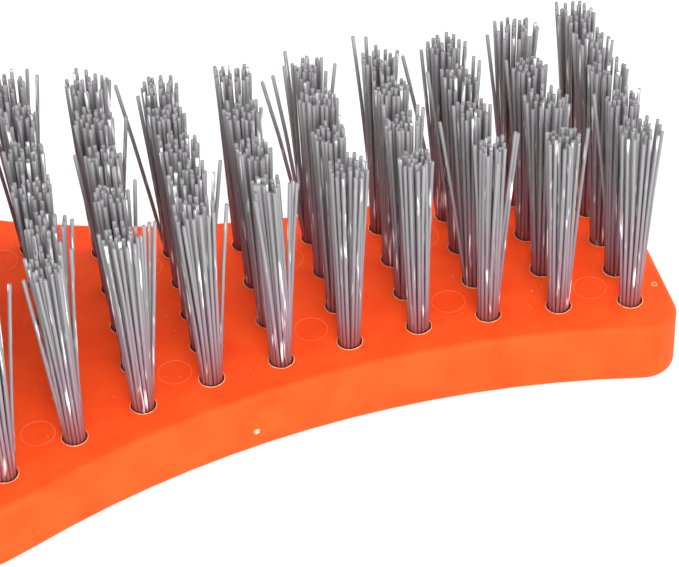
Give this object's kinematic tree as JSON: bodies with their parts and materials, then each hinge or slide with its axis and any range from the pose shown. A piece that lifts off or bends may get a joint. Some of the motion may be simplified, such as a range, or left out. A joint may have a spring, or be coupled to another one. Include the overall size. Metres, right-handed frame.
{
  "type": "wire brush",
  "caption": "Hand wire brush: waisted flat plastic head with crosswise rows of long straight steel wire tufts on one face and an in-line handle with a hang hole.",
  "frame": {"origin": "centre of the overall plan outline, on the body's flat back", "axes": "+X along the brush from the handle to the narrow tip of the head, +Y across it, +Z from the flat back to the bristle tips"},
  "size_m": [0.258, 0.0538, 0.0305],
  "materials": {
    "orange_plastic": "satin moulded polypropylene",
    "wire_steel": "drawn steel wire",
    "anchor_steel": "flat steel strip"
  },
  "bodies": {
    "root": {"brush_body": "orange_plastic", "tuft_row_01": "wire_steel", "tuft_row_02": "wire_steel", "tuft_row_03": "wire_steel", "tuft_row_04": "wire_steel", "tuft_row_05": "wire_steel", "tuft_row_06": "wire_steel", "tuft_row_07": "wire_steel", "tuft_row_08": "wire_steel", "tuft_row_09": "wire_steel", "tuft_row_10": "wire_steel", "tuft_row_11": "wire_steel", "tuft_row_12": "wire_steel", "tuft_row_13": "wire_steel", "tuft_row_14": "wire_steel", "tuft_row_15": "wire_steel", "anchor_row_01": "anchor_steel", "anchor_row_02": "anchor_steel", "anchor_row_03": "anchor_steel", "anchor_row_04": "anchor_steel", "anchor_row_05": "anchor_steel", "anchor_row_06": "anchor_steel", "anchor_row_07": "anchor_steel", "anchor_row_08": "anchor_steel", "anchor_row_09": "anchor_steel", "anchor_row_10": "anchor_steel", "anchor_row_11": "anchor_steel", "anchor_row_12": "anchor_steel", "anchor_row_13": "anchor_steel", "anchor_row_14": "anchor_steel", "anchor_row_15": "anchor_steel"}
  },
  "joints": []
}
